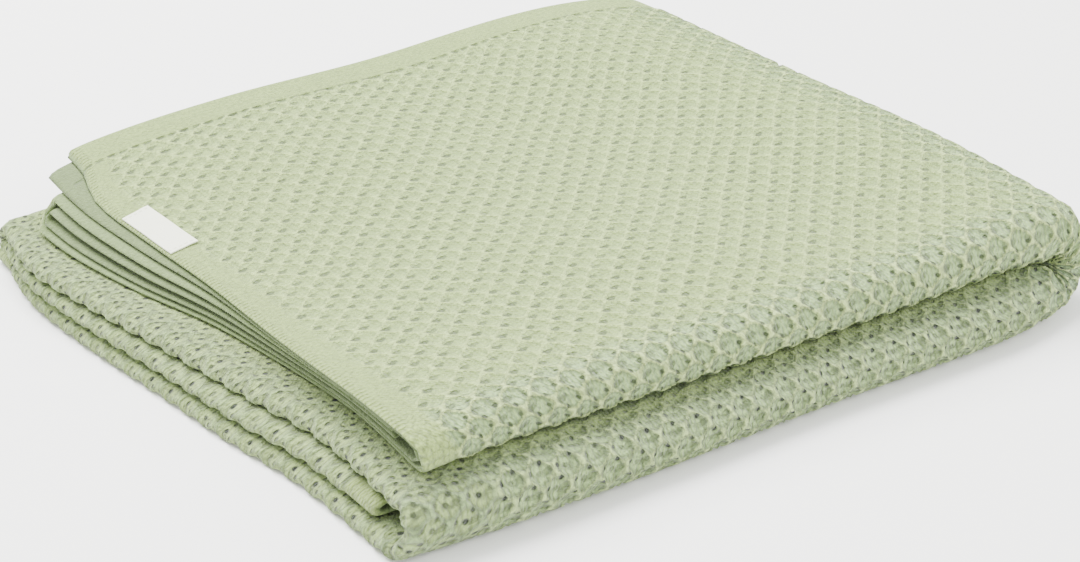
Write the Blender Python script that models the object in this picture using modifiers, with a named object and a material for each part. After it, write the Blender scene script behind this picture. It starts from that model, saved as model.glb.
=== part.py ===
# A folded crib blanket: one knitted cloth of about 100 x 75 cm, folded to twelve layers, with a sewn label.
# Metres, +Z up. +X runs along the front from the open hems on the left to the round fold on the right,
# +Y runs from the front fold to the hem at the back. The origin is under the middle of the bounding box.

import bpy
from collections import namedtuple
from math import cos, pi, sin

# Cloth
CLOTH_LENGTH = 1.036
CLOTH_WIDTH = 0.740
CLOTH_THICKNESS = 0.0019
HEM_THICKNESS = 0.0015
HEM_WIDTH_ENDS = 0.014
HEM_WIDTH_SIDES = 0.018
HEM_THIN_SHARE = 0.6  # points within this share of a hem's width take its lesser thickness

# First fold, in half along the length: two layers, closed at the left in a long round end
DOUBLE_RADIUS = 0.00120
DOUBLE_ROUNDNESS = 1.6

# Second fold, in thirds across the width: three doubled layers, closed at the front and inside the back
THIRD_PITCH = 0.00490
FRONT_ROUNDNESS = 1.35
END_PANEL_EXTRA = 0.010
END_PANEL_START = 0.5  # share of the pack's height from which a layer follows the end panel's hem
END_PANEL_RISE = 0.43  # and over which it comes to follow it wholly

# Third fold, in half at the right: the pack of six layers folded over itself
PACK_GAP = 0.0006
WRAP_LENGTH = 0.034
WRAP_ROUNDNESS = 1.15
TOP_PACK_LENGTH = 0.2330
TURN_MARGIN = 0.03  # how far before and after the wrap one pack's settled shape turns into the other's

# Label
LABEL_LENGTH = 0.0360
LABEL_WIDTH = 0.0105
LABEL_THICKNESS = 0.0008
LABEL_CLEARANCE = 0.0004
LABEL_FROM_CORNER = 0.0595
LABEL_FROM_EDGE = 0.0006

# Grid: segments in each section of the cloth, hem to hem
LENGTH_SECTIONS = {"hem": 1, "top": 7, "wrap": 8, "bottom": 8, "double": 6}
WIDTH_SECTIONS = {"hem": 1, "panel": 7, "front": 8, "back": 6}

DOUBLE_THICKNESS = 2 * DOUBLE_RADIUS + CLOTH_THICKNESS
PACK_HEIGHT = 2 * THIRD_PITCH + DOUBLE_THICKNESS
PANEL_LENGTH = (CLOTH_WIDTH - 1.5 * pi * THIRD_PITCH) / 3
FRONT_CENTRE = FRONT_ROUNDNESS * (THIRD_PITCH + DOUBLE_THICKNESS / 2)
BACK_FOLD = FRONT_CENTRE + PANEL_LENGTH + (THIRD_PITCH + DOUBLE_THICKNESS) / 2
BACK_HEM = FRONT_CENTRE + PANEL_LENGTH + END_PANEL_EXTRA
DOUBLE_ARC = pi * DOUBLE_RADIUS / 2
STRIP_LENGTH = CLOTH_LENGTH / 2 - DOUBLE_ARC
BOTTOM_PACK_LENGTH = STRIP_LENGTH - WRAP_LENGTH - TOP_PACK_LENGTH

# Left ends of the folds, at stations from front to back, measured from the nominal end of the top pack
LeftEnds = namedtuple("LeftEnds", "depth top second middle bottom")
TOP_PACK_LEFT = (
    LeftEnds(depth=0.000, top=0.000, second=0.001, middle=0.002, bottom=0.003),
    LeftEnds(depth=0.060, top=0.000, second=0.001, middle=0.003, bottom=0.005),
    LeftEnds(depth=0.130, top=0.0005, second=0.0005, middle=-0.0005, bottom=-0.0015),
    LeftEnds(depth=0.180, top=-0.0020, second=-0.0045, middle=-0.0085, bottom=-0.0120),
    LeftEnds(depth=0.220, top=-0.0038, second=-0.0085, middle=-0.0135, bottom=-0.0190),
    LeftEnds(depth=0.245, top=0.0030, second=-0.0095, middle=-0.0150, bottom=-0.0215),
)
BOTTOM_PACK_LEFT = (
    LeftEnds(depth=0.000, top=-0.0070, second=-0.0075, middle=-0.0085, bottom=-0.0115),
    LeftEnds(depth=0.055, top=-0.0045, second=-0.0060, middle=-0.0100, bottom=-0.0140),
    LeftEnds(depth=0.090, top=-0.0085, second=-0.0110, middle=-0.0155, bottom=-0.0195),
    LeftEnds(depth=0.125, top=-0.0145, second=-0.0165, middle=-0.0200, bottom=-0.0235),
    LeftEnds(depth=0.180, top=-0.0240, second=-0.0260, middle=-0.0280, bottom=-0.0300),
    LeftEnds(depth=0.215, top=-0.0300, second=-0.0310, middle=-0.0315, bottom=-0.0320),
    LeftEnds(depth=0.245, top=-0.0280, second=-0.0285, middle=-0.0290, bottom=-0.0290),
)

# The right fold's reach past its nominal place, at stations from front to back
RightEnds = namedtuple("RightEnds", "depth bottom top")
RIGHT_END = (
    RightEnds(depth=0.000, bottom=-0.0105, top=-0.0025),
    RightEnds(depth=0.060, bottom=-0.0040, top=0.0030),
    RightEnds(depth=0.140, bottom=0.0050, top=0.0070),
    RightEnds(depth=0.240, bottom=0.0100, top=0.0100),
)

# Front fold, back fold and back hem of each pack, at stations from left to right
Edges = namedtuple("Edges", "along low_front low_back top_front top_back top_hem")
FRONT_AND_BACK = (
    Edges(along=-0.02, low_front=-0.001, low_back=0.214, top_front=0.004, top_back=0.198, top_hem=0.208),
    Edges(along=0.010, low_front=-0.0065, low_back=0.217, top_front=0.004, top_back=0.204, top_hem=0.223),
    Edges(along=0.065, low_front=-0.0125, low_back=0.221, top_front=0.001, top_back=0.217, top_hem=0.230),
    Edges(along=0.130, low_front=-0.018, low_back=0.222, top_front=-0.006, top_back=0.221, top_hem=0.230),
    Edges(along=0.205, low_front=-0.026, low_back=0.222, top_front=-0.014, top_back=0.222, top_hem=0.231),
    Edges(along=0.235, low_front=-0.025, low_back=0.218, top_front=-0.016, top_back=0.217, top_hem=0.225),
    Edges(along=0.255, low_front=-0.016, low_back=0.210, top_front=-0.011, top_back=0.207, top_hem=0.210),
)

# Height of each pack as a share of its nominal height, at stations from left to right
Heights = namedtuple("Heights", "along bottom top")
PACK_HEIGHTS = (
    Heights(along=-0.030, bottom=1.24, top=0.88),
    Heights(along=0.010, bottom=1.20, top=0.90),
    Heights(along=0.060, bottom=1.06, top=1.04),
    Heights(along=0.150, bottom=1.02, top=1.12),
    Heights(along=0.220, bottom=1.08, top=1.34),
    Heights(along=0.250, bottom=1.06, top=1.38),
)

# The pile is pressed thinner in the middle than at its springy folds: stations from front to back
HeightsAcross = namedtuple("HeightsAcross", "depth share")
HEIGHTS_ACROSS = (
    HeightsAcross(depth=0.000, share=1.000),
    HeightsAcross(depth=0.040, share=0.990),
    HeightsAcross(depth=0.120, share=0.900),
    HeightsAcross(depth=0.175, share=0.895),
    HeightsAcross(depth=0.225, share=0.985),
    HeightsAcross(depth=0.258, share=1.080),
)
RIGHT_SPRING = 0.14  # from here on the round fold at the right holds the pile up

# The open left end of the top pack gapes inside its back fold and under its end panel:
# heights in the pack when closed and when gaping, and how far it gapes from front to back
Level = namedtuple("Level", "closed gaping")
LEVELS = (
    Level(closed=0.0, gaping=0.0),
    Level(closed=DOUBLE_THICKNESS, gaping=DOUBLE_THICKNESS - 0.0006),
    Level(closed=THIRD_PITCH, gaping=THIRD_PITCH + 0.0006),
    Level(closed=THIRD_PITCH + CLOTH_THICKNESS, gaping=THIRD_PITCH + CLOTH_THICKNESS + 0.0003),
    Level(closed=THIRD_PITCH + 2 * DOUBLE_RADIUS, gaping=THIRD_PITCH + 2 * DOUBLE_RADIUS + 0.0011),
    Level(closed=PACK_HEIGHT, gaping=PACK_HEIGHT),
)
Gape = namedtuple("Gape", "depth share")
GAPE = (
    Gape(depth=0.01, share=0.7),
    Gape(depth=0.06, share=0.4),
    Gape(depth=0.13, share=0.3),
    Gape(depth=0.20, share=1.0),
)
GAPE_LENGTH = 0.07

# Slow swells of the lying cloth
SWELL_SHARE = 0.022
SWELL_LENGTH = 0.115


def smooth(value):
    value = min(1.0, max(0.0, value))
    return value * value * (3 - 2 * value)


def from_table(rows, column, at):
    """The value of a column at a station, on a smooth curve through the rows."""
    station = rows[0]._fields[0]
    places = [getattr(row, station) for row in rows]
    values = [getattr(row, column) for row in rows]
    if at <= places[0]:
        return values[0]
    if at >= places[-1]:
        return values[-1]
    row = max(i for i, place in enumerate(places) if place < at)
    width = places[row + 1] - places[row]
    slopes = []
    for i in (row, row + 1):
        before = max(i - 1, 0)
        after = min(i + 1, len(rows) - 1)
        slopes.append((values[after] - values[before]) / (places[after] - places[before]) * width)
    share = (at - places[row]) / width
    step = values[row + 1] - values[row]
    square = 3 * step - 2 * slopes[0] - slopes[1]
    cube = slopes[0] + slopes[1] - 2 * step
    return values[row] + share * (slopes[0] + share * (square + share * cube))


def doubled(s, n):
    """First fold: the place along the doubled strip, and the height from its middle."""
    from_hem = min(s, CLOTH_LENGTH - s)
    side = 1 if s < CLOTH_LENGTH / 2 else -1
    reach = DOUBLE_RADIUS + n
    if from_hem <= STRIP_LENGTH:
        return from_hem, side * reach
    angle = (CLOTH_LENGTH / 2 - from_hem) / DOUBLE_RADIUS
    return STRIP_LENGTH + DOUBLE_ROUNDNESS * reach * cos(angle), side * reach * sin(angle)


def in_thirds(t, r):
    """Second fold: the depth from the front, and the height in the pack of six layers."""
    level = DOUBLE_THICKNESS / 2
    end_panel = PANEL_LENGTH + END_PANEL_EXTRA
    front_arc = pi * THIRD_PITCH
    back_arc = front_arc / 2
    if t <= end_panel:
        return FRONT_CENTRE + end_panel - t, level - r
    t -= end_panel
    if t <= front_arc:
        angle = t / THIRD_PITCH
        reach = THIRD_PITCH + r
        return FRONT_CENTRE - FRONT_ROUNDNESS * reach * sin(angle), level + THIRD_PITCH - reach * cos(angle)
    t -= front_arc
    if t <= PANEL_LENGTH:
        return FRONT_CENTRE + t, level + 2 * THIRD_PITCH + r
    t -= PANEL_LENGTH
    if t <= back_arc:
        angle = 2 * t / THIRD_PITCH
        reach = THIRD_PITCH / 2 + r
        depth = FRONT_CENTRE + PANEL_LENGTH + reach * sin(angle)
        return depth, level + THIRD_PITCH * 1.5 + reach * cos(angle)
    t -= back_arc
    return FRONT_CENTRE + PANEL_LENGTH - t, level + THIRD_PITCH - r


def in_half(p, w):
    """Third fold: the place along the front, the height, and how far over the right fold it is, 0 to 1."""
    turned = 1 - smooth((p - TOP_PACK_LENGTH + TURN_MARGIN) / (WRAP_LENGTH + 2 * TURN_MARGIN))
    middle = PACK_HEIGHT + PACK_GAP / 2
    reach = middle - w
    if p <= TOP_PACK_LENGTH:
        return p, middle + reach, turned
    if p >= TOP_PACK_LENGTH + WRAP_LENGTH:
        return 2 * TOP_PACK_LENGTH + WRAP_LENGTH - p, w, turned
    angle = pi * (p - TOP_PACK_LENGTH) / WRAP_LENGTH
    return TOP_PACK_LENGTH + WRAP_ROUNDNESS * reach * sin(angle), middle + reach * cos(angle), turned


def left_end(rows, depth, share):
    """The left end at a share of the pack's height, on straight runs between the table's columns."""
    places = ((0.0, "bottom"), (0.5, "middle"), (0.76, "second"), (0.93, "top"))
    for (low, below), (high, above) in zip(places, places[1:]):
        if share <= high or above == "top":
            part = min(1.0, (share - low) / (high - low))
            return from_table(rows, below, depth) * (1 - part) + from_table(rows, above, depth) * part


def gaping(height, x, depth):
    """The height in the top pack, where its open left end gapes."""
    share = from_table(GAPE, "share", depth) * (1 - smooth(x / GAPE_LENGTH))
    for low, high in zip(LEVELS, LEVELS[1:]):
        if height <= high.closed or high is LEVELS[-1]:
            part = (height - low.closed) / (high.closed - low.closed)
            open_height = low.gaping + part * (high.gaping - low.gaping)
            return height * (1 - share) + open_height * share
    return height


def swell(x, y):
    """How much thicker the lying cloth is at a place, as a share of its height."""
    first = sin(2 * pi * (x + 0.35 * y) / SWELL_LENGTH)
    second = sin(2 * pi * (y - 0.25 * x) / (1.4 * SWELL_LENGTH) + 1.0)
    return SWELL_SHARE * (0.6 * first + 0.7 * second + 0.4 * first * second)


def settled(x, depth, height, turned):
    """The folded cloth as it lies: its ends fanned, its sides skewed and its thickness uneven."""
    split = PACK_HEIGHT + PACK_GAP / 2
    in_top = height > split
    in_pack = height - PACK_HEIGHT - PACK_GAP if in_top else height
    # Height
    z = from_table(PACK_HEIGHTS, "bottom", x)
    if in_top:
        z = z * PACK_HEIGHT + PACK_GAP + from_table(PACK_HEIGHTS, "top", x) * gaping(in_pack, x, depth)
    else:
        z *= in_pack
    pressed = 1 - smooth((x - RIGHT_SPRING) / (TOP_PACK_LENGTH - RIGHT_SPRING))
    z *= 1 + (from_table(HEIGHTS_ACROSS, "share", depth) - 1) * pressed
    z *= 1 + swell(x, depth)
    # Along the front
    rows = TOP_PACK_LEFT if in_top else BOTTOM_PACK_LEFT
    start = 0.0 if in_top else TOP_PACK_LENGTH - BOTTOM_PACK_LENGTH - DOUBLE_ROUNDNESS * DOUBLE_THICKNESS / 2
    end = left_end(rows, depth, in_pack / PACK_HEIGHT)
    share = smooth((x - start) / (TOP_PACK_LENGTH - start))
    right = {column: from_table(RIGHT_END, column, depth) for column in ("bottom", "top")}
    reach = right["bottom"] + (right["top"] - right["bottom"]) * turned
    new_x = x + (end - start) * (1 - share) + reach * share
    # Front to back
    edge = {}
    for column in Edges._fields[1:]:
        edge[column] = from_table(FRONT_AND_BACK, column, new_x)
    above = max(0.0, in_pack / PACK_HEIGHT - END_PANEL_START)
    level = min(1.0, above / END_PANEL_RISE) if in_top else 0
    top_back = edge["top_back"] + (edge["top_hem"] - edge["top_back"]) * level
    top_depth = BACK_FOLD + (BACK_HEM - BACK_FOLD) * level
    front = edge["low_front"] + (edge["top_front"] - edge["low_front"]) * turned
    back = edge["low_back"] + (top_back - edge["low_back"]) * turned
    full_depth = BACK_FOLD + (top_depth - BACK_FOLD) * turned
    return new_x, front + (back - front) * depth / full_depth, z


def folded(s, t, n):
    """Where a point of the flat cloth comes to lie: s along it, t across it, n out of its face."""
    p, r = doubled(s, n)
    depth, w = in_thirds(t, r)
    x, height, turned = in_half(p, w)
    return settled(x, depth, height, turned)


def stations(sections):
    """Grid lines of a row of sections, each a length and its number of segments."""
    lines = [0.0]
    for length, segments in sections:
        start = lines[-1]
        for step in range(1, segments + 1):
            lines.append(start + length * step / segments)
    return lines


def length_lines():
    count = LENGTH_SECTIONS
    half = [
        (HEM_WIDTH_ENDS, count["hem"]),
        (TOP_PACK_LENGTH - HEM_WIDTH_ENDS, count["top"]),
        (WRAP_LENGTH, count["wrap"]),
        (BOTTOM_PACK_LENGTH, count["bottom"]),
    ]
    return stations(half + [(2 * DOUBLE_ARC, count["double"])] + half[::-1])


def width_lines():
    count = WIDTH_SECTIONS
    inner = PANEL_LENGTH - END_PANEL_EXTRA - HEM_WIDTH_SIDES
    return stations([
        (HEM_WIDTH_SIDES, count["hem"]),
        (PANEL_LENGTH + END_PANEL_EXTRA - HEM_WIDTH_SIDES, count["panel"]),
        (pi * THIRD_PITCH, count["front"]),
        (PANEL_LENGTH, count["panel"] + 1),
        (pi * THIRD_PITCH / 2, count["back"]),
        (inner, count["panel"]),
        (HEM_WIDTH_SIDES, count["hem"]),
    ])


def flat_sheet(name, s_lines, t_lines, thickness):
    """A flat closed sheet whose grid lines stand where the sections need them."""
    bpy.ops.mesh.primitive_grid_add(
        x_subdivisions=len(s_lines) - 1,
        y_subdivisions=len(t_lines) - 1,
        size=2,
    )
    sheet = bpy.context.object
    sheet.name = name
    sheet.data.name = name
    for vertex in sheet.data.vertices:
        column = round((vertex.co.x + 1) / 2 * (len(s_lines) - 1))
        row = round((vertex.co.y + 1) / 2 * (len(t_lines) - 1))
        vertex.co = (s_lines[column], t_lines[row], 0)
    solidify = sheet.modifiers.new("Thickness", "SOLIDIFY")
    solidify.thickness = thickness
    solidify.offset = 0
    bpy.ops.object.modifier_apply(modifier=solidify.name)
    return sheet


def soft_material(name, colour, roughness):
    material = bpy.data.materials.new(name)
    material.use_nodes = True
    shader = material.node_tree.nodes["Principled BSDF"]
    shader.inputs["Base Color"].default_value = (*colour, 1)
    shader.inputs["Roughness"].default_value = roughness
    shader.inputs["Metallic"].default_value = 0
    material.diffuse_color = (*colour, 1)
    return material


def hem_share(s, t):
    """1 on the plain hem bands and 0 on the knit."""
    on_end = min(s, CLOTH_LENGTH - s) <= HEM_WIDTH_ENDS * HEM_THIN_SHARE
    on_side = min(t, CLOTH_WIDTH - t) <= HEM_WIDTH_SIDES * HEM_THIN_SHARE
    return 1 if on_end or on_side else 0


def make_blanket():
    sheet = flat_sheet("blanket", length_lines(), width_lines(), CLOTH_THICKNESS)
    for vertex in sheet.data.vertices:
        s, t, n = vertex.co
        if hem_share(s, t):
            n *= HEM_THICKNESS / CLOTH_THICKNESS
        vertex.co = folded(s, t, n)
    sheet.data.flip_normals()
    sheet.data.materials.append(soft_material("Knitted cotton", (0.560, 0.610, 0.410), 0.95))
    return sheet


def make_label():
    s_lines = stations([(LABEL_WIDTH, 4)])
    t_lines = stations([(LABEL_LENGTH, 6)])
    sheet = flat_sheet("label", s_lines, t_lines, LABEL_THICKNESS)
    lift = CLOTH_THICKNESS / 2 + LABEL_CLEARANCE + LABEL_THICKNESS / 2
    for vertex in sheet.data.vertices:
        s, t, n = vertex.co
        vertex.co = folded(s + LABEL_FROM_EDGE, t + LABEL_FROM_CORNER, n + lift)
    sheet.data.flip_normals()
    sheet.data.materials.append(soft_material("Woven label", (0.86, 0.86, 0.84), 0.8))
    return sheet


def stand_at_origin(pieces):
    """Moves all pieces together, so that the first one's box stands on the origin."""
    corners = [vertex.co for vertex in pieces[0].data.vertices]
    middle_x = (min(c.x for c in corners) + max(c.x for c in corners)) / 2
    middle_y = (min(c.y for c in corners) + max(c.y for c in corners)) / 2
    lowest = min(c.z for c in corners)
    for piece in pieces:
        for vertex in piece.data.vertices:
            vertex.co.x -= middle_x
            vertex.co.y -= middle_y
            vertex.co.z -= lowest


def main():
    for old in list(bpy.data.objects):
        bpy.data.objects.remove(old, do_unlink=True)
    group = bpy.data.collections.new("Folded crib blanket")
    bpy.context.scene.collection.children.link(group)
    pieces = [make_blanket(), make_label()]
    stand_at_origin(pieces)
    for piece in pieces:
        for holder in list(piece.users_collection):
            holder.objects.unlink(piece)
        group.objects.link(piece)
        piece.data.shade_smooth()
        piece.data.set_sharp_from_angle(angle=0.7)


main()
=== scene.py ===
import math

import bpy
import numpy as np
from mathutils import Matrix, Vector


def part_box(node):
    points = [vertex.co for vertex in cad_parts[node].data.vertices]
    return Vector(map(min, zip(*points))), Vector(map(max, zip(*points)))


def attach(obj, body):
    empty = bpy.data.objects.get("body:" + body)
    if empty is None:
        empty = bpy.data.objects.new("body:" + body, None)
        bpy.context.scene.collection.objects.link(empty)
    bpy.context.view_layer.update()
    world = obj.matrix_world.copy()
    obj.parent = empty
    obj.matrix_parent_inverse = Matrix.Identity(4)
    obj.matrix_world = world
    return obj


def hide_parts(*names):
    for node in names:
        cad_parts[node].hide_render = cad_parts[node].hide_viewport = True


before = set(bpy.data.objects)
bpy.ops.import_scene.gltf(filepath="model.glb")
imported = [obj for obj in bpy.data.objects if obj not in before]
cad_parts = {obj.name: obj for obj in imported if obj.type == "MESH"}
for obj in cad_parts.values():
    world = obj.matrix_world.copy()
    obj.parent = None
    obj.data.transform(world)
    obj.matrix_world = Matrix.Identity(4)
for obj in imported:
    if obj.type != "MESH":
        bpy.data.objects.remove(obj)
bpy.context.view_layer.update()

print("frame loaded")

# The folded cloth, in metres
# s runs along the flat cloth, t across it and n out of its face

cloth = {
    "length": 1.036,
    "width": 0.740,
    "thickness": 0.0019,
    "hemThickness": 0.0015,
    "hemEnds": 0.0095,     # plain band on the two short ends
    "hemSides": 0.0155,    # plain band on the two long sides
    "rim": 0.0018,         # over which the cut edge rounds off
    "rimShare": 0.4,       # share of the thickness that is left at the very edge
}
folds = {
    "doubleRadius": 0.00120,
    "doubleRoundness": 1.6,
    "thirdPitch": 0.00490,
    "frontRoundness": 1.35,
    "endPanelExtra": 0.010,
    "packGap": 0.0006,
    "wrapLength": 0.034,
    "wrapRoundness": 1.15,
    "topPackLength": 0.2330,
    "gapeLength": 0.07,
    "swellShare": 0.022,
    "swellLength": 0.115,
    "rightSpring": 0.14,
    "turnMargin": 0.03,     # how far before and after the wrap one pack's shape turns into the other's
    "endPanelStart": 0.5,   # share of the pack's height from which a layer follows the end panel's hem
    "endPanelRise": 0.43,   # and over which it comes to follow it wholly
}
fullTurn = 2 * math.pi
radius = folds["doubleRadius"]
pitch = folds["thirdPitch"]
doubleThickness = 2 * radius + cloth["thickness"]
packHeight = 2 * pitch + doubleThickness
panelLength = (cloth["width"] - 1.5 * math.pi * pitch) / 3
endPanel = panelLength + folds["endPanelExtra"]
frontArc = math.pi * pitch
backArc = frontArc / 2
frontCentre = folds["frontRoundness"] * (pitch + doubleThickness / 2)
backFold = frontCentre + panelLength + (pitch + doubleThickness) / 2
backHem = frontCentre + endPanel
doubleArc = math.pi * radius / 2
stripLength = cloth["length"] / 2 - doubleArc
topLength = folds["topPackLength"]
wrapLength = folds["wrapLength"]
bottomLength = stripLength - wrapLength - topLength


def table(columns, *rows):
    return {name: np.array(values, float) for name, values in zip(columns.split(), zip(*rows))}


# where the folds and hems end on the left, from front to back
topPackLeft = table(
    "depth top second middle bottom",
    (0.000, 0.000, 0.001, 0.002, 0.003),
    (0.060, 0.000, 0.001, 0.003, 0.005),
    (0.130, 0.0005, 0.0005, -0.0005, -0.0015),
    (0.180, -0.0020, -0.0045, -0.0085, -0.0120),
    (0.220, -0.0038, -0.0085, -0.0135, -0.0190),
    (0.245, 0.0030, -0.0095, -0.0150, -0.0215),
)
bottomPackLeft = table(
    "depth top second middle bottom",
    (0.000, -0.0070, -0.0075, -0.0085, -0.0115),
    (0.055, -0.0045, -0.0060, -0.0100, -0.0140),
    (0.090, -0.0085, -0.0110, -0.0155, -0.0195),
    (0.125, -0.0145, -0.0165, -0.0200, -0.0235),
    (0.180, -0.0240, -0.0260, -0.0280, -0.0300),
    (0.215, -0.0300, -0.0310, -0.0315, -0.0320),
    (0.245, -0.0280, -0.0285, -0.0290, -0.0290),
)
rightEnd = table(
    "depth bottom top",
    (0.000, -0.0105, -0.0025),
    (0.060, -0.0040, 0.0030),
    (0.140, 0.0050, 0.0070),
    (0.240, 0.0100, 0.0100),
)
frontAndBack = table(
    "along bottomFront bottomBack topFront topBack topHem",
    (-0.02, -0.001, 0.214, 0.004, 0.198, 0.208),
    (0.010, -0.0065, 0.217, 0.004, 0.204, 0.223),
    (0.065, -0.0125, 0.221, 0.001, 0.217, 0.230),
    (0.130, -0.018, 0.222, -0.006, 0.221, 0.230),
    (0.205, -0.026, 0.222, -0.014, 0.222, 0.231),
    (0.235, -0.025, 0.218, -0.016, 0.217, 0.225),
    (0.255, -0.016, 0.210, -0.011, 0.207, 0.210),
)
packHeights = table(
    "along bottom top",
    (-0.030, 1.24, 0.88),
    (0.010, 1.20, 0.90),
    (0.060, 1.06, 1.04),
    (0.150, 1.02, 1.12),
    (0.220, 1.08, 1.34),
    (0.250, 1.06, 1.38),
)
# the pile is pressed thinner in the middle than at its springy folds
heightsAcross = table(
    "depth share",
    (0.000, 1.000),
    (0.040, 0.990),
    (0.120, 0.900),
    (0.175, 0.895),
    (0.225, 0.985),
    (0.258, 1.080),
)
# heights in the top pack, shut and where its open left end gapes
levels = table(
    "shut open",
    (0.0, 0.0),
    (doubleThickness, doubleThickness - 0.0006),
    (pitch, pitch + 0.0006),
    (pitch + cloth["thickness"], pitch + cloth["thickness"] + 0.0003),
    (pitch + 2 * radius, pitch + 2 * radius + 0.0011),
    (packHeight, packHeight),
)
gape = table("depth share", (0.01, 0.7), (0.06, 0.4), (0.13, 0.3), (0.20, 1.0))


def smooth(value):
    value = np.clip(value, 0, 1)
    return value * value * (3 - 2 * value)


def mix(a, b, share):
    return a + (b - a) * share


# A smooth curve through one column of a table.
def fromTable(rows, column, at):
    x = rows[next(iter(rows))]
    y = rows[column]
    i = np.clip(np.searchsorted(x, at) - 1, 0, len(x) - 2)
    last = len(x) - 1
    width = x[i + 1] - x[i]
    low, high = np.maximum(i - 1, 0), np.minimum(i + 2, last)
    slopeA = (y[i + 1] - y[low]) / (x[i + 1] - x[low]) * width
    slopeB = (y[high] - y[i]) / (x[high] - x[i]) * width
    share = np.clip((at - x[i]) / width, 0, 1)
    step = y[i + 1] - y[i]
    curve = slopeA + share * (3 * step - 2 * slopeA - slopeB + share * (slopeA + slopeB - 2 * step))
    return y[i] + share * curve


def doubled(s, n):
    fromHem = np.minimum(s, cloth["length"] - s)
    side = np.where(s < cloth["length"] / 2, 1, -1)
    reach = radius + n
    angle = (cloth["length"] / 2 - fromHem) / radius
    onEnd = fromHem > stripLength
    p = np.where(onEnd, stripLength + folds["doubleRoundness"] * reach * np.cos(angle), fromHem)
    return p, side * reach * np.where(onEnd, np.sin(angle), 1)


def inThirds(t, r):
    level = doubleThickness / 2
    ends = np.cumsum([endPanel, frontArc, panelLength, backArc])
    front = (t - ends[0]) / pitch
    back = 2 * (t - ends[2]) / pitch
    reachFront, reachBack = pitch + r, pitch / 2 + r
    where = [t <= ends[0], t <= ends[1], t <= ends[2], t <= ends[3]]
    depth = np.select(where, [
        frontCentre + endPanel - t,
        frontCentre - folds["frontRoundness"] * reachFront * np.sin(front),
        frontCentre + t - ends[1],
        frontCentre + panelLength + reachBack * np.sin(back),
    ], frontCentre + panelLength - (t - ends[3]))
    height = np.select(where, [
        level - r,
        level + pitch - reachFront * np.cos(front),
        level + 2 * pitch + r,
        level + pitch * 1.5 + reachBack * np.cos(back),
    ], level + pitch - r)
    return depth, height


def inHalf(p, w):
    turned = 1 - smooth((p - topLength + folds["turnMargin"]) / (wrapLength + 2 * folds["turnMargin"]))
    middle = packHeight + folds["packGap"] / 2
    reach = middle - w
    angle = math.pi * (p - topLength) / wrapLength
    where = [p <= topLength, p >= topLength + wrapLength]
    onWrap = topLength + folds["wrapRoundness"] * reach * np.sin(angle)
    x = np.select(where, [p, 2 * topLength + wrapLength - p], onWrap)
    height = np.select(where, [middle + reach, w], middle + reach * np.cos(angle))
    return x, height, turned, p < topLength + wrapLength / 2


def leftEnd(rows, depth, share):
    places = [0.0, 0.5, 0.76, 0.93]
    columns = [fromTable(rows, name, depth) for name in ("bottom", "middle", "second", "top")]
    share = np.clip(share, 0, places[-1])
    result = columns[0]
    for low, high, below, above in zip(places, places[1:], columns, columns[1:]):
        part = np.clip((share - low) / (high - low), 0, 1)
        result = np.where(share > low, mix(below, above, part), result)
    return result


def swell(x, y):
    first = np.sin(fullTurn * (x + 0.35 * y) / folds["swellLength"])
    second = np.sin(fullTurn * (y - 0.25 * x) / (1.4 * folds["swellLength"]) + 1.0)
    return folds["swellShare"] * (0.6 * first + 0.7 * second + 0.4 * first * second)


def settled(x, depth, height, turned, inTop):
    inPack = np.where(inTop, height - packHeight - folds["packGap"], height)
    packShare = inPack / packHeight
    share = fromTable(gape, "share", depth) * (1 - smooth(x / folds["gapeLength"]))
    opened = np.interp(inPack, levels["shut"], levels["open"])
    gaping = mix(inPack, opened + np.maximum(inPack - packHeight, 0) + np.minimum(inPack, 0), share)
    low = fromTable(packHeights, "bottom", x)
    upper = low * packHeight + folds["packGap"] + fromTable(packHeights, "top", x) * gaping
    z = np.where(inTop, upper, low * inPack)
    pressed = 1 - smooth((x - folds["rightSpring"]) / (topLength - folds["rightSpring"]))
    z = z * (1 + (fromTable(heightsAcross, "share", depth) - 1) * pressed) * (1 + swell(x, depth))
    start = np.where(inTop, 0, topLength - bottomLength - folds["doubleRoundness"] * doubleThickness / 2)
    ends = [leftEnd(rows, depth, packShare) for rows in (topPackLeft, bottomPackLeft)]
    end = np.where(inTop, *ends)
    share = smooth((x - start) / (topLength - start))
    reach = mix(fromTable(rightEnd, "bottom", depth), fromTable(rightEnd, "top", depth), turned)
    x = x + (end - start) * (1 - share) + reach * share
    edge = {name: fromTable(frontAndBack, name, x) for name in list(frontAndBack)[1:]}
    level = np.clip((packShare - folds["endPanelStart"]) / folds["endPanelRise"], 0, 1)
    level = np.where(inTop, level, 0)
    topBack = mix(edge["topBack"], edge["topHem"], level)
    topDepth = mix(backFold, backHem, level)
    front = mix(edge["bottomFront"], edge["topFront"], turned)
    back = mix(edge["bottomBack"], topBack, turned)
    return x, front + (back - front) * depth / mix(backFold, topDepth, turned), z


def folded(s, t, n):
    p, r = doubled(s, n)
    depth, w = inThirds(t, r)
    x, height, turned, inTop = inHalf(p, w)
    return np.stack(settled(x, depth, height, turned, inTop), axis=-1)


# The honeycomb knit

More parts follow.
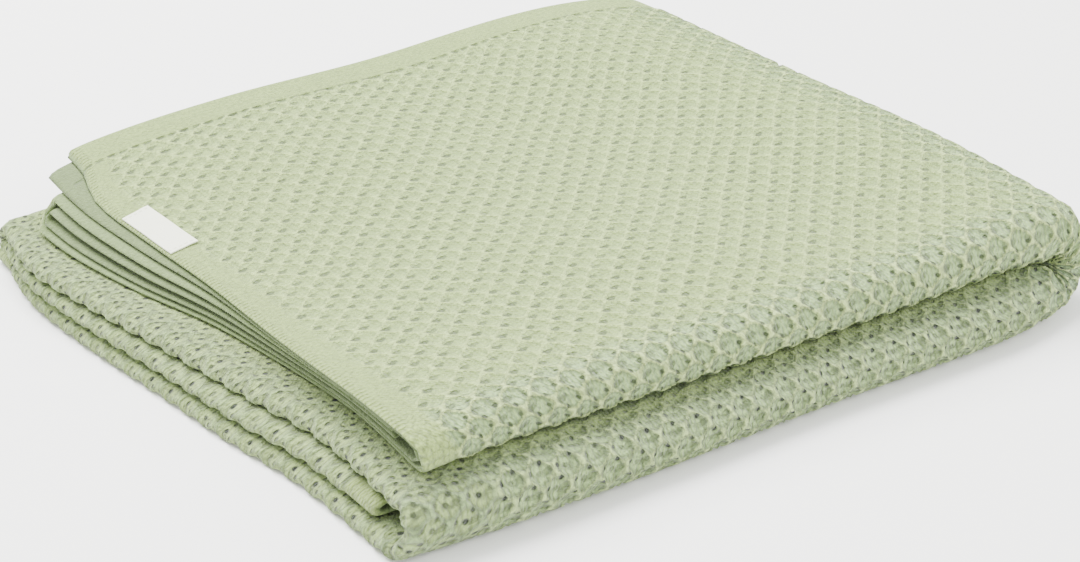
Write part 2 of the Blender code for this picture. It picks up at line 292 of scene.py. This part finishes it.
knit = {
    "along": 0.00926,       # pitch of a column of cells, before the cloth is laid out
    "across": 0.01076,      # pitch of every second row of cells
    "ridge": 0.00055,       # how far the raised net stands out of the cloth's face
    "pocket": 0.00085,      # how far the pockets sink into it
    "flatShare": 0.42,      # how much of that relief is left where the cloth lies flat
    "openShare": 0.72,      # and where it bends and opens up
    "leftShare": 0.45,      # and how much less at the tight folds on the left
    "wander": 0.0007,       # how far the rows stray
    "pocketEnds": 0.34,     # how far out in its cell a pocket's floor ends
    "netRise": 0.155,       # and over which the net rises from it
    "narrowing": 1.3,       # how much the pockets are narrowed across
    "wrapStretch": 1.57,    # length of the outer face over the bends, as shares of the cloth's middle
    "frontStretch": 1.70,
    "backStretch": 1.85,
    "doubleStretch": 2.5,
    # the open shares also set how much painted shade and painted highlight the knit's colours put at each
    # fold
    "openUpperFront": 0.65, # how far the knit opens at each fold
    "openLowerFront": 1.0,
    "openRight": 0.55,
    "openLeft": 0.6,
    "frontWidth": 0.011,    # half width of the opened strip at each fold
    "rightWidth": 0.022,
    "leftWidth": 0.007,
}
halfLength = cloth["length"] / 2
frontStart, frontEnd = endPanel, endPanel + frontArc
backStart, backEnd = frontEnd + panelLength, frontEnd + panelLength + backArc
peek = panelLength / 23    # how far the lower pack shows under the upper one
leftReach = 0.027          # how far from the left end the lower pack's upper side shows
endReach = 0.0045          # how far the round left end of a doubled layer reaches


# The place in the knit, in cells along two diagonals, whole numbers at the pockets.
def patternPlace(s, t):
    half = np.minimum(s, cloth["length"] - s)
    u = half + (knit["wrapStretch"] - 1) * (np.clip(half, topLength, topLength + wrapLength) - topLength)
    u = u + (knit["doubleStretch"] - 1) * (np.maximum(half, stripLength) - stripLength)
    whole = halfLength + (knit["wrapStretch"] - 1) * wrapLength + (knit["doubleStretch"] - 1) * doubleArc
    u = np.where(s < halfLength, u, 2 * whole - u)
    v = t + (knit["frontStretch"] - 1) * (np.clip(t, frontStart, frontEnd) - frontStart)
    v = v + (knit["backStretch"] - 1) * (np.clip(t, backStart, backEnd) - backStart)
    strayU = np.sin(fullTurn * (v / 0.071 + u / 0.19))
    strayU = strayU + 0.6 * np.sin(fullTurn * (u / 0.037 - v / 0.055) + 2)
    strayV = np.sin(fullTurn * (u / 0.083 - v / 0.21) + 1)
    strayV = strayV + 0.6 * np.sin(fullTurn * (v / 0.043 + u / 0.06) + 4)
    u = (u + knit["wander"] * 0.6 * strayU) / knit["along"]
    v = (v + knit["wander"] * 0.6 * strayV) / knit["across"]
    return u + v, u - v


# 0 in a pocket of the knit and 1 on the net around it.
def knitHeight(p, q):
    p, q = p - np.round(p), q - np.round(q)
    across = (p - q) / 2
    far = (p ** 4 + q ** 4 + (knit["narrowing"] * across) ** 4) ** 0.25
    return smooth((far - knit["pocketEnds"]) / knit["netRise"])


# 1 on the plain bands and 0 on the knit.
def hemShare(s, t):
    ends = 1 - smooth((np.minimum(s, cloth["length"] - s) - cloth["hemEnds"]) / 0.002 + 0.5)
    sides = 1 - smooth((np.minimum(t, cloth["width"] - t) - cloth["hemSides"]) / 0.002 + 0.5)
    return np.maximum(ends, sides)


# Above 0 where the cloth bends outwards and the knit opens up, and 1 where it opens most.
def bendShare(s, t):
    wrapMiddle = topLength + wrapLength / 2
    front = smooth(1.6 - np.abs(t - (frontStart + frontEnd) / 2) / knit["frontWidth"])
    front = front * np.where(s < wrapMiddle, knit["openUpperFront"], knit["openLowerFront"])
    right = knit["openRight"] * smooth(1.6 - np.abs(s - topLength - wrapLength / 2) / knit["rightWidth"])
    left = knit["openLeft"] * smooth(1.7 - np.abs(s - halfLength) / knit["leftWidth"])
    return np.maximum(np.maximum(front, right), left)


# 1 on the outer face where it shows, and 0 inside the folds and under the blanket.
def shownShare(s, t):
    top = smooth((topLength + wrapLength * 0.8 - s) / 0.004) * smooth((frontEnd - 0.001 - t) / 0.002)
    front = smooth((t - frontStart + 0.001) / 0.003) * smooth((frontEnd + 0.001 - t) / 0.003)
    below = smooth((s - topLength - wrapLength * 0.8) / 0.004) * smooth((t - frontEnd + 0.002) / 0.003)
    peeking = below * smooth((frontEnd + peek - 0.0005 - t) / 0.002)
    front = np.maximum(front, peeking) * smooth((halfLength + 0.004 - s) / 0.003)
    left = smooth((s - halfLength + 0.026) / 0.003) * smooth((halfLength + 0.0035 - s) / 0.002)
    lower = np.where(t > frontEnd, 1, smooth((s - halfLength + 0.0035) / 0.002))
    inner = np.where(t > backEnd, smooth((s - halfLength + 0.0035) / 0.002), 1)
    back = smooth((t - backStart + 0.002) / 0.002) * smooth((backEnd - t) / 0.002) * (s < halfLength)
    return np.maximum.reduce([top, front, left * lower * inner, back])


def stations(*sections):
    lines = [0.0]
    for length, count in sections:
        start = lines[-1]
        lines += [start + length * (i + 1) / count for i in range(count)]
    return np.array(lines)


def flatSheet(name, sLines, tLines, thickness):
    bpy.ops.object.select_all(action="DESELECT")
    bpy.ops.mesh.primitive_grid_add(x_subdivisions=len(sLines) - 1, y_subdivisions=len(tLines) - 1, size=2)
    sheet = bpy.context.object
    sheet.name = sheet.data.name = name
    for vertex in sheet.data.vertices:
        column = round((vertex.co.x + 1) / 2 * (len(sLines) - 1))
        row = round((vertex.co.y + 1) / 2 * (len(tLines) - 1))
        vertex.co = (sLines[column], tLines[row], 0)
    solidify = sheet.modifiers.new("thickness", "SOLIDIFY")
    solidify.thickness = thickness
    solidify.offset = 0
    bpy.ops.object.modifier_apply(modifier=solidify.name)
    return sheet


# Cuts the outer face finer at the faces that show.
def subdivideWhere(sheet, isShown, cuts):
    bpy.ops.object.mode_set(mode="EDIT")
    bpy.ops.mesh.select_mode(type="FACE")
    bpy.ops.mesh.select_all(action="DESELECT")
    bpy.ops.object.mode_set(mode="OBJECT")
    for face in sheet.data.polygons:
        face.select = face.normal.z > 0.9 and isShown(face.center.x, face.center.y)
    bpy.ops.object.mode_set(mode="EDIT")
    bpy.ops.mesh.subdivide(number_cuts=cuts, ngon=True)
    bpy.ops.object.mode_set(mode="OBJECT")


def shownFace(s, t):
    atLeft = halfLength - leftReach < s < halfLength + endReach
    onEnd = halfLength - endReach < s < halfLength + endReach
    if t < frontStart:
        return s < topLength + wrapLength or onEnd
    if t < frontEnd or (t < frontEnd + peek and s > topLength + wrapLength / 2):
        return s < halfLength + endReach
    if t < backStart:
        return atLeft
    return t >= backEnd and onEnd


def backFace(s, t):
    return backStart < t < backEnd and s < halfLength + endReach


def coordinates(mesh):
    place = np.empty(len(mesh.vertices) * 3)
    mesh.vertices.foreach_get("co", place)
    return place.reshape(-1, 3).T


def setUv(mesh, name, values):
    corner = np.empty(len(mesh.loops), int)
    mesh.loops.foreach_get("vertex_index", corner)
    layer = mesh.uv_layers.new(name=name)
    layer.data.foreach_set("uv", values[corner].astype(np.float32).ravel())


def setValue(mesh, name, values):
    mesh.attributes.new(name, "FLOAT", "POINT").data.foreach_set("value", values.astype(np.float32))


hem, rim, lastStretch = cloth["hemEnds"], cloth["rim"], 0.025
halfLines = [(rim * 0.4, 1), (rim * 0.6, 1), (hem - rim, 1), (topLength - hem, 21), (wrapLength, 5)]
farHalf = [
    (bottomLength - lastStretch, 12), (wrapLength, 5), (topLength - hem, 12),
    (hem - rim, 1), (rim * 0.6, 1), (rim * 0.4, 1),
]
leftFold = [(lastStretch, 3), (2 * doubleArc, 2), (lastStretch, 3)]
sLines = stations(*halfLines, (bottomLength - lastStretch, 22), *leftFold, *farHalf)
side = cloth["hemSides"]
tLines = stations(
    (rim * 0.4, 1), (rim * 0.6, 1), (side - rim, 2), (endPanel - side, 22), (frontArc, 3), (panelLength, 23),
    (backArc, 2), (panelLength - folds["endPanelExtra"] - side, 20),
    (side - rim, 2), (rim * 0.6, 1), (rim * 0.4, 1),
)
blanket = flatSheet("knittedBlanket", sLines, tLines, cloth["thickness"])
subdivideWhere(blanket, shownFace, cuts=7)
subdivideWhere(blanket, backFace, cuts=4)
mesh = blanket.data
s, t, n = coordinates(mesh)
fromEdge = np.minimum(np.minimum(s, cloth["length"] - s), np.minimum(t, cloth["width"] - t))
outer = n > 0
hemHere = hemShare(s, t)
p, q = patternPlace(s, t)
shown = shownShare(s, t) * (1 - hemHere) * outer
bends = bendShare(s, t)
# The tight-fold value goes half as strong on the lower pack, where it darkens the knit as painted shade
# under the upper pack.
tightHere = smooth((s - halfLength + 0.03) / 0.01)                     # the folds at the left end
lowerPackTightAndShade = 0.5 * smooth((s - topLength - wrapLength * 0.7) / 0.03)   # and, half as much, the lower pack
relief = mix(-knit["pocket"], knit["ridge"], knitHeight(p, q)) * shown
relief = relief * mix(knit["flatShare"], knit["openShare"], bends) * mix(1, knit["leftShare"], tightHere)
roundRim = np.sqrt(1 - (1 - np.clip(fromEdge / rim, 0, 1)) ** 2)
nFlat = n * mix(1, cloth["hemThickness"] / cloth["thickness"], hemHere)
smoothPlace = folded(s, t, nFlat)
low, high = smoothPlace.min(axis=0), smoothPlace.max(axis=0)
cadLow, cadHigh = (np.array(corner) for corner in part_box("blanket"))
packMiddle = np.array([*((low + high) / 2 - (cadLow + cadHigh) / 2)[:2], low[2] - cadLow[2]])
place = folded(s, t, nFlat * mix(cloth["rimShare"], 1, roundRim) + relief) - packMiddle
mesh.vertices.foreach_set("co", place.ravel())
mesh.flip_normals()
setUv(mesh, "knit", np.stack([p, q], axis=-1))
setUv(mesh, "flat", np.stack([s, t], axis=-1))
setValue(mesh, "hem", hemHere)
setValue(mesh, "bend", bends)
setValue(mesh, "tightAndShaded", np.maximum(tightHere, lowerPackTightAndShade))
# 1 on the layers inside the folds and under the blanket, which get painted shade and less pattern
setValue(mesh, "inside", 1 - np.clip(shownShare(s, t) * outer, 0, 1))
mesh.shade_smooth()
mesh.update()
mesh.calc_loop_triangles()
print("blanket folded:", len(mesh.loop_triangles), "triangles, middle", packMiddle.round(5))

# The sewn label

labelPiece = {
    "length": 0.0360,
    "width": 0.0105,
    "thickness": 0.0005,
    "fromCorner": 0.0595,
    "fromEdge": 0.0006,
    "clearance": 0.0003,
    "knitLift": 0.0003,    # how much higher it lies where it passes on to the knit
    "face": "#F2F4DE",
    "thread": "#C8CCB2",
    "seamInset": 0.0016,   # from each short end to the row of stitches
    "stitch": 0.0021,
    "weft": 0.0006,        # pitch of the fine rows across the ribbon
}
labelLines = [stations((labelPiece["width"], 12)), stations((labelPiece["length"], 30))]
label = flatSheet("wovenLabel", *labelLines, labelPiece["thickness"])
ls, lt, ln = coordinates(label.data)
lift = cloth["hemThickness"] / 2 + labelPiece["clearance"] + labelPiece["thickness"] / 2
onKnit = smooth((ls + labelPiece["fromEdge"] - cloth["hemEnds"] + 0.004) / 0.004) * labelPiece["knitLift"]
setUv(label.data, "flat", np.stack([ls, lt], axis=-1))
place = folded(ls + labelPiece["fromEdge"], lt + labelPiece["fromCorner"], ln + lift + onKnit) - packMiddle
label.data.vertices.foreach_set("co", place.ravel())
label.data.flip_normals()
label.data.shade_smooth()
label.data.set_sharp_from_angle(angle=0.9)
label.data.update()
print("label placed")

# Materials


# A colour from sRGB hex, as Blender's sockets take it.
def linear(hexColour):
    values = [int(hexColour[i:i + 2], 16) / 255 for i in (1, 3, 5)]
    return [v / 12.92 if v <= 0.04045 else ((v + 0.055) / 1.055) ** 2.4 for v in values] + [1.0]


mainOption = {
    "Math": "operation", "VectorMath": "operation", "Mix": "data_type", "MapRange": "interpolation_type",
    "UVMap": "uv_map", "Attribute": "attribute_name",
    "TexWhiteNoise": "noise_dimensions", "TexVoronoi": "voronoi_dimensions",
}


def add(kind, option, *values, output=0):
    made = tree.nodes.new("ShaderNode" + kind)
    if option:
        setattr(made, mainOption[kind], option)
    byName = values and isinstance(values[0], dict)
    for place, value in (values[0].items() if byName else enumerate(values)):
        if isinstance(value, bpy.types.NodeSocket):
            tree.links.new(value, made.inputs[place])
        else:
            made.inputs[place].default_value = value
    return made.outputs[output]


def newMaterial(name, roughness, sheen):
    material = bpy.data.materials.new(name)
    material.use_nodes = True
    shader = material.node_tree.nodes["Principled BSDF"]
    shader.inputs["Roughness"].default_value = roughness
    shader.inputs["Sheen Weight"].default_value = sheen
    shader.inputs["Sheen Roughness"].default_value = 0.6
    shader.inputs["Specular IOR Level"].default_value = 0.2
    return material, material.node_tree, shader


# The pocket and hole colours and their darker opened versions are painted shade in the recesses and holes,
# the crest colour is a painted highlight, and the inside colour is painted shade in the folds; the hole
# colour also dyes the seam's thread.
knitLook = {
    "net": "#9FB469",
    "crest": "#ACBE7C",
    "pocket": "#90A660",
    "shadedOpenPocket": "#849E73",
    "hole": "#46562A",
    "shadedOpenHole": "#202D13",
    "hem": "#889C57",
    "inside": "#66794A",
    "strandSpacing": 0.0014,
    "stitch": 0.0013,      # stitches of the ground and the plain hem
    "lump": 0.0016,        # loops of the yarn
    "seamStitch": 0.0048,  # running stitch between the side hems and the knit
    "edgeStitch": 0.0019,  # bolder bound-off stitches at the very edge
    "yarn": 0.0011,        # lumps along the yarn
    "mottleScale": 260.0,  # uneven dyeing, about 4 mm
}
dye = {name: linear(value) for name, value in knitLook.items() if isinstance(value, str)}

# Combed cotton, tuck-stitch knitted: matt and soft, with a faint bloom of fibre at its edges
cotton, tree, shader = newMaterial("Knitted cotton", 0.95, 0.2)
diagonal = add("SeparateXYZ", None, add("UVMap", "knit")).node
cell = [add("Math", "ROUND", diagonal.outputs[axis]) for axis in (0, 1)]
part = [add("Math", "SUBTRACT", diagonal.outputs[axis], cell[axis]) for axis in (0, 1)]
along = add("Math", "MULTIPLY", add("Math", "ADD", part[0], part[1]), 0.5)
across = add("Math", "MULTIPLY", add("Math", "SUBTRACT", part[0], part[1]), 0.5)
position = add("TexCoord", None, output="Object")
bend = add("Attribute", "bend", output="Fac")
hemMask = add("Attribute", "hem", output="Fac")
flatPlace = add("SeparateXYZ", None, add("UVMap", "flat")).node
insideShadeMask = add("Attribute", "inside", output="Fac")
tightAndShaded = add("Attribute", "tightAndShaded", output="Fac")
loose = add("Math", "SUBTRACT", 1.0, tightAndShaded)
yarnLumps = {"Vector": position, "Scale": 1 / knitLook["yarn"], "Detail": 4.0, "Roughness": 0.65}
yarn = add("TexNoise", None, yarnLumps)
cellPlace = add("CombineXYZ", None, *cell)
chance = add("TexWhiteNoise", "2D", {"Vector": cellPlace}, output="Color")
chances = add("SeparateXYZ", None, chance).node

# rows of small stitches, a little uneven
uneven = [add("Math", "MULTIPLY_ADD", yarn, 0.0008, flatPlace.outputs[axis]) for axis in (0, 1)]
turns = [add("Math", "MULTIPLY", value, fullTurn / knitLook["stitch"]) for value in uneven]
rows = [add("Math", "SINE", value) for value in turns]
stitches = add("Math", "MULTIPLY", rows[0], rows[1])
yarnLoops = {"Vector": add("UVMap", "flat"), "Scale": 1 / knitLook["lump"], "Randomness": 0.7}
loops = add("TexVoronoi", "2D", yarnLoops)
gaps = add("MapRange", "SMOOTHSTEP", loops, 0.28, 0.62)      # painted shade in the dark between the loops
gaps = add("Math", "MULTIPLY", gaps, add("Math", "MULTIPLY_ADD", bend, 0.26, 0.17))
calm = add("Math", "MULTIPLY_ADD", insideShadeMask, -0.6, 1.0)    # less pattern on the layers inside the folds
gaps, stitches = (add("Math", "MULTIPLY", value, calm) for value in (gaps, stitches))

# how far out in its cell a place is: pockets end and the net starts at about 0.43
stretched = add("Math", "MULTIPLY", across, knit["narrowing"])
powers = [add("Math", "POWER", add("Math", "ABSOLUTE", value), 4.0) for value in (*part, stretched)]
far = add("Math", "POWER", add("Math", "ADD", add("Math", "ADD", powers[0], powers[1]), powers[2]), 0.25)
ragged = add("Math", "ADD", far, add("Math", "MULTIPLY_ADD", yarn, 0.24, -0.12))
net = add("MapRange", "SMOOTHSTEP", ragged, 0.43, 0.49)
rib = add("MapRange", "SMOOTHSTEP", ragged, 0.48, 0.56)      # the crest of the net, painted brighter as a highlight
inPocket = add("Math", "SUBTRACT", 1.0, net)
rimShadeMask = add("MapRange", "SMOOTHSTEP", ragged, 0.30, 0.42)
rimShadeMask = add("Math", "MULTIPLY", rimShadeMask, inPocket)               # painted shade at the pocket's rim

# holes where the tucked yarns part, painted dark as the shade in them, and a painted shadow of each pocket's
# far wall: place in the cell, half length and width, slant, and how much of each shows on a flat, a bend and
# the tight folds on the left
holes = {
    "end": (-0.24, 0.00, 0.25, 0.115, -0.35, 0.85, 0.45, 0.45),
    "upper": (0.30, 0.06, 0.085, 0.075, 0.0, 0.12, 1.3, 0.75),
    "lower": (-0.17, 0.25, 0.085, 0.075, 0.0, 0.08, 1.3, 0.75),
    "shade": (0.04, -0.03, 0.30, 0.17, -0.15, 0.22, 0.0, 0.0),
    "middle": (0.00, 0.00, 0.115, 0.090, 0.0, 0.0, 0.15, 1.0),
}
hole = None
for index, values in enumerate(holes.values()):
    alongHole, acrossHole, long, wide, slant, onFlat, onBend, onTight = values
    shifted = add("Math", "MULTIPLY_ADD", chances.outputs[index % 3], 0.08, -alongHole - 0.04)
    shifted = add("Math", "ADD", along, shifted)
    dx = add("Math", "DIVIDE", shifted, long)
    dy = add("Math", "SUBTRACT", across, acrossHole)
    dy = add("Math", "DIVIDE", add("Math", "MULTIPLY_ADD", shifted, -slant, dy), wide)
    distance = add("Math", "SQRT", add("Math", "MULTIPLY_ADD", dy, dy, add("Math", "MULTIPLY", dx, dx)))
    distance = add("Math", "ADD", distance, add("Math", "MULTIPLY_ADD", yarn, 0.8, -0.4))
    shows = add("Math", "MULTIPLY_ADD", bend, onBend - onFlat, onFlat)
    shows = add("Mix", "FLOAT", {0: tightAndShaded, 2: shows, 3: onTight})
    varied = add("MapRange", "SMOOTHSTEP", chances.outputs[(index + 1) % 3], -0.6, 0.5)
    shows = add("Math", "MULTIPLY", shows, varied)
    mask = add("Math", "MULTIPLY", add("MapRange", "SMOOTHSTEP", distance, 1.1, 0.5), shows)
    hole = mask if hole is None else add("Math", "MAXIMUM", hole, mask)

# floating strands across each pocket
strand = add("Math", "MULTIPLY", along, fullTurn * knit["along"] / knitLook["strandSpacing"])
strand = add("Math", "SINE", strand)
strands = add("Math", "MULTIPLY", add("Math", "MULTIPLY_ADD", strand, 0.17, 0.20), inPocket)

# the pockets' painted shade, net, the crest's painted highlight, painted shade at the rims and in the holes,
# and hem, one over the other
# painted shade at the pocket rims, stronger on the bends and weaker at the tight folds
rimShade = add("Math", "MULTIPLY", rimShadeMask, add("Math", "MULTIPLY_ADD", tightAndShaded, -0.6, 1.0))
rimShade = add("Math", "MULTIPLY", rimShade, add("Math", "MULTIPLY_ADD", bend, 0.40, 0.22))
# painted highlight on the net's crest, stronger on the bends
crestHighlightShare = add("Math", "MULTIPLY", rib, loose)
crestHighlightShare = add("Math", "MULTIPLY", crestHighlightShare, add("Math", "MULTIPLY_ADD", bend, 0.6, 0.25))
looseShare = add("Math", "ADD", net, strands)
tightShare = add("Math", "MULTIPLY_ADD", net, -0.30, 0.72)
netShare = add("Mix", "FLOAT", {0: tightAndShaded, 2: looseShare, 3: tightShare})
# painted shade: the pockets and holes go darker where the knit opens and at the tight folds
shadedPocketColour = add("Mix", "RGBA", {0: bend, 6: dye["pocket"], 7: dye["shadedOpenPocket"]}, output=2)
holeShadeShare = add("Math", "MAXIMUM", bend, tightAndShaded)
holeShadeColour = add("Mix", "RGBA", {0: holeShadeShare, 6: dye["hole"], 7: dye["shadedOpenHole"]}, output=2)
colour = add("Mix", "RGBA", {0: netShare, 6: shadedPocketColour, 7: dye["net"]}, output=2)
colour = add("Mix", "RGBA", {0: crestHighlightShare, 6: colour, 7: dye["crest"]}, output=2)
colour = add("Mix", "RGBA", {0: rimShade, 6: colour, 7: dye["hole"]}, output=2)
colour = add("Mix", "RGBA", {0: hole, 6: colour, 7: holeShadeColour}, output=2)
colour = add("Mix", "RGBA", {0: hemMask, 6: colour, 7: dye["hem"]}, output=2)

# the running stitch that holds the side hems
fromSide = add("Math", "PINGPONG", flatPlace.outputs[1], cloth["width"] / 2)
fromSeam = add("Math", "ABSOLUTE", add("Math", "SUBTRACT", fromSide, cloth["hemSides"] + 0.0008))
running = add("Math", "MULTIPLY", flatPlace.outputs[0], fullTurn / knitLook["seamStitch"])
running = add("MapRange", "SMOOTHSTEP", add("Math", "SINE", running), -0.8, 0.1)
seam = add("Math", "MULTIPLY", add("MapRange", "SMOOTHSTEP", fromSeam, 0.0014, 0.0004), running)
seamShare = add("Math", "MULTIPLY", seam, 0.7)
colour = add("Mix", "RGBA", {0: seamShare, 6: colour, 7: dye["hole"]}, output=2)

# the layers inside the folds are darker as painted shade, and the dye and yarn uneven
insideShadeShare = add("Math", "MULTIPLY", insideShadeMask, 0.8)
colour = add("Mix", "RGBA", {0: insideShadeShare, 6: colour, 7: dye["inside"]}, output=2)
mottle = add("TexNoise", None, {"Vector": position, "Scale": knitLook["mottleScale"], "Detail": 4.0})
tone = add("Math", "MULTIPLY_ADD", mottle, 0.24, 0.88)
tone = add("Math", "MULTIPLY", tone, add("Math", "MULTIPLY_ADD", yarn, 0.96, 0.54))
# painted shade: darker at the tight folds on the left and on the lower pack
tone = add("Math", "MULTIPLY", tone, add("Math", "MULTIPLY_ADD", tightAndShaded, -0.20, 1.0))
# painted light: brighter on the open bends of the knit
paintedBendLight = add("Math", "MULTIPLY", bend, loose)
tone = add("Math", "MULTIPLY", tone, add("Math", "MULTIPLY_ADD", paintedBendLight, 0.12, 1.0))

# the bold stitches that bind off the short ends
fromEnd = add("Math", "PINGPONG", flatPlace.outputs[0], cloth["length"] / 2)
teeth = add("Math", "MULTIPLY", flatPlace.outputs[1], fullTurn / knitLook["edgeStitch"])
teeth = add("Math", "SINE", teeth)
teeth = add("Math", "MULTIPLY", teeth, add("Math", "SUBTRACT", 1.0, insideShadeMask))
teeth = add("Math", "MULTIPLY", teeth, add("MapRange", "SMOOTHSTEP", fromEnd, 0.0034, 0.0024))
tone = add("Math", "MULTIPLY", tone, add("Math", "MULTIPLY_ADD", teeth, 0.10, 1.0))
stitchTone = add("Math", "MULTIPLY_ADD", stitches, 0.07, add("Math", "SUBTRACT", 1.08, gaps))
tone = add("Math", "MULTIPLY", tone, stitchTone)
colour = add("VectorMath", "SCALE", {0: colour, 3: tone})
tree.links.new(colour, shader.inputs["Base Color"])

# heights of the pockets, net, holes, hem and yarn
netHeight = add("Math", "MULTIPLY_ADD", rib, 0.30, add("Math", "MULTIPLY", net, 0.35))
netHeight = add("Math", "MULTIPLY", netHeight, add("Math", "MULTIPLY_ADD", bend, 0.6, 0.4))
height = add("Math", "MULTIPLY_ADD", add("Math", "MULTIPLY", strand, inPocket), 0.12, netHeight)
height = add("Math", "MULTIPLY_ADD", hole, -0.8, height)
height = add("Mix", "FLOAT", {0: hemMask, 2: height, 3: add("Math", "MULTIPLY_ADD", teeth, 0.25, 0.3)})
height = add("Math", "MULTIPLY_ADD", seam, -0.5, height)
height = add("Math", "MULTIPLY_ADD", gaps, -0.6, height)
height = add("Math", "MULTIPLY_ADD", stitches, 0.10, height)
height = add("Math", "MULTIPLY_ADD", yarn, 1.0, height)
bump = add("Bump", None, {"Height": height, "Distance": 0.001, "Strength": 1.0})
tree.links.new(bump, shader.inputs["Normal"])
blanket.data.materials.append(cotton)

# Woven polyester ribbon: smooth and off-white, with fine rows across it
ribbon, tree, shader = newMaterial("Woven label ribbon", 0.7, 0.1)
ribbonPlace = add("SeparateXYZ", None, add("UVMap", "flat")).node
fromEnd = add("Math", "PINGPONG", ribbonPlace.outputs[1], labelPiece["length"] / 2)
fromRow = add("Math", "ABSOLUTE", add("Math", "SUBTRACT", fromEnd, labelPiece["seamInset"]))
onRow = add("MapRange", "SMOOTHSTEP", fromRow, 0.0006, 0.0002)
sewn = add("Math", "SINE", add("Math", "MULTIPLY", ribbonPlace.outputs[0], fullTurn / labelPiece["stitch"]))
sewn = add("Math", "MULTIPLY", onRow, add("MapRange", "SMOOTHSTEP", sewn, -0.6, 0.2))
sewnShare = add("Math", "MULTIPLY", sewn, 0.7)
ribbonDye = {6: linear(labelPiece["face"]), 7: linear(labelPiece["thread"])}
ribbonColour = add("Mix", "RGBA", {0: sewnShare, **ribbonDye}, output=2)
tree.links.new(ribbonColour, shader.inputs["Base Color"])
weft = add("Math", "SINE", add("Math", "MULTIPLY", ribbonPlace.outputs[1], fullTurn / labelPiece["weft"]))
bump = add("Bump", None, {"Height": weft, "Distance": 0.00004, "Strength": 1.0})
tree.links.new(bump, shader.inputs["Normal"])
label.data.materials.append(ribbon)
print("materials made")

# Floor, light and camera

bpy.ops.mesh.primitive_plane_add(size=6, location=(0, 0, -0.0002))
floor = bpy.context.object
floor.name = "paleFloor"
paper, tree, shader = newMaterial("Matt white paper", 0.9, 0.0)
shader.inputs["Base Color"].default_value = linear("#F6F6F4")
floor.data.materials.append(paper)

world = bpy.data.worlds.new("softStudio")
world.use_nodes = True
world.node_tree.nodes["Background"].inputs["Color"].default_value = (1, 1, 1, 1)
world.node_tree.nodes["Background"].inputs["Strength"].default_value = 1.6
bpy.context.scene.world = world

lights = {
    "key": {"place": (-0.2, 0.9, 1.6), "aim": (0, 0.1, 0), "width": 1.4, "watts": 135},
    "fill": {"place": (0.2, -1.5, 1.3), "aim": (0, 0, 0), "width": 1.2, "watts": 30},
}
for name, light in lights.items():
    bpy.ops.object.light_add(type="AREA", location=light["place"])
    lamp = bpy.context.object
    lamp.name = name + "Light"
    lamp.data.size = light["width"]
    lamp.data.energy = light["watts"]
    sideways, forward, upward = (a - b for a, b in zip(light["aim"], light["place"]))
    tilt = math.atan2(math.hypot(sideways, forward), -upward)
    lamp.rotation_euler = (tilt, 0, math.atan2(-sideways, forward))

view = {
    "place": (-0.18593, -0.29026, 0.27075),   # from the pack's nominal corner
    "down": 29.1,
    "turn": -37.3,
    "lens": 56.17,
}
viewX, viewY, viewZ = view["place"]
bpy.ops.object.camera_add(location=(viewX - packMiddle[0], viewY - packMiddle[1], viewZ))
camera = bpy.context.object
camera.rotation_euler = (math.radians(90 - view["down"]), 0, math.radians(view["turn"]))
camera.data.sensor_fit = "HORIZONTAL"
camera.data.sensor_width = 36
camera.data.lens = view["lens"]
camera.data.clip_start = 0.01
bpy.context.scene.camera = camera
print("studio set")

# Pieces attached to the root body, with the CAD parts they replace hidden

for piece, node, slotName in ((blanket, "blanket", "knit"), (label, "label", "label")):
    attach(piece, "root")
    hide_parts(node)
